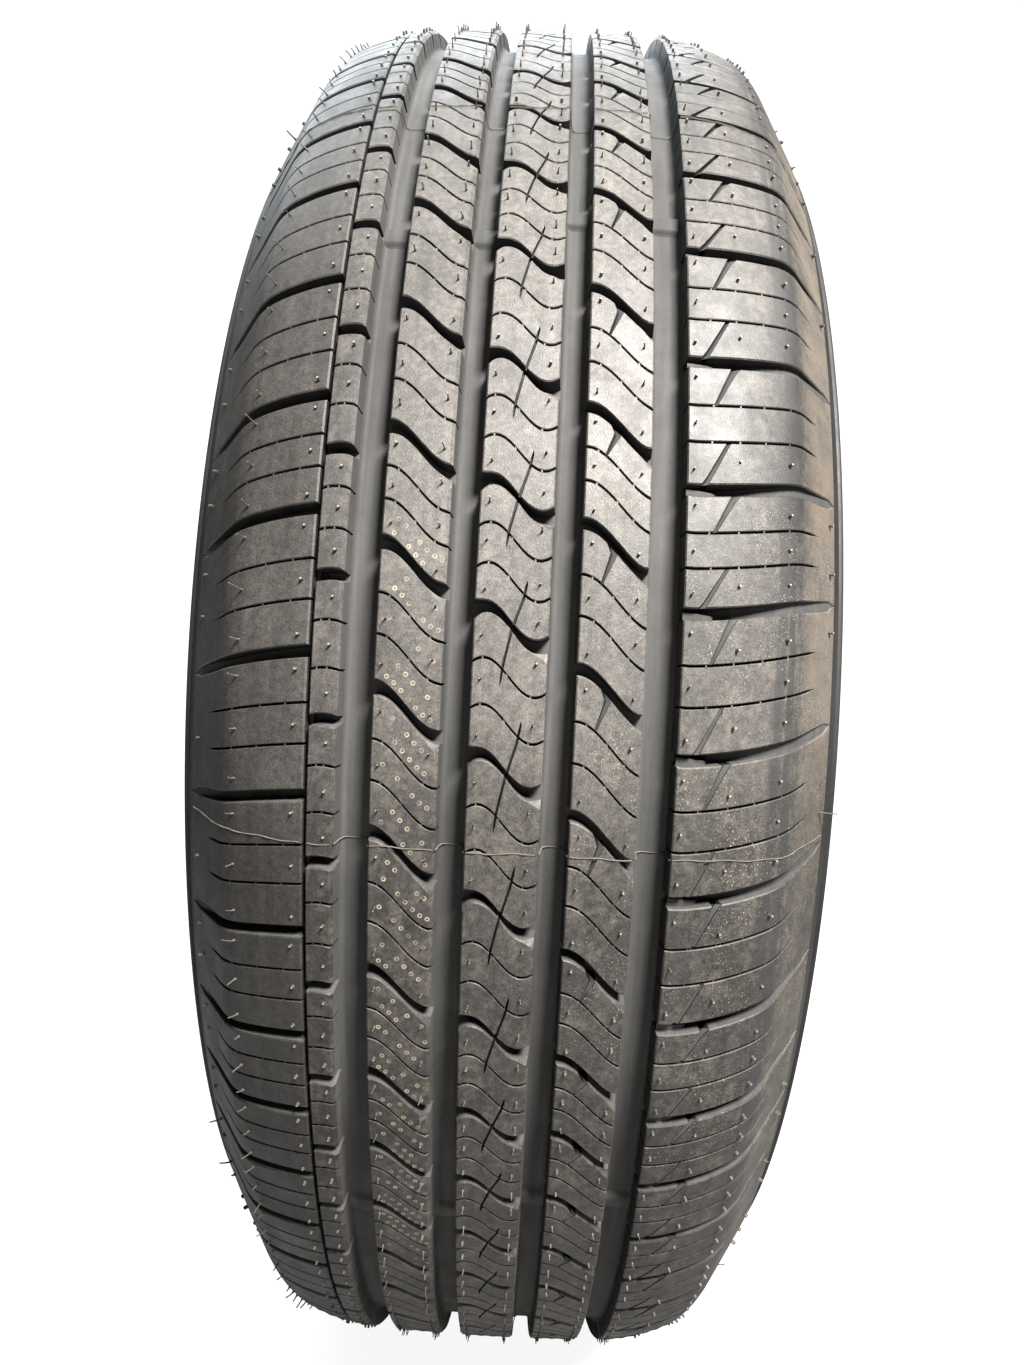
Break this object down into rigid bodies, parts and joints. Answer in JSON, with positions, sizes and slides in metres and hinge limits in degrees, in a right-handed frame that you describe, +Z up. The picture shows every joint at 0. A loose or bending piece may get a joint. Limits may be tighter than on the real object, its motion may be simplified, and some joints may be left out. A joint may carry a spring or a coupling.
{
  "type": "car tyre",
  "caption": "Passenger car tyre moulded as a single piece, with an asymmetric grooved tread, rounded sidewalls and beads that seat on the rim.",
  "frame": {"origin": "centre of the tyre, on its spin axis, midway between the two rim flanges", "axes": "+Y along the spin axis, +Z up with the tyre standing on its tread, +X towards the viewer of the pictured tread, so that +Y is the viewer's right"},
  "size_m": [0.664, 0.2204, 0.664],
  "materials": {
    "tyre": "moulded black rubber, satin, with light dust"
  },
  "bodies": {
    "root": {"tyre": "tyre"}
  },
  "joints": []
}
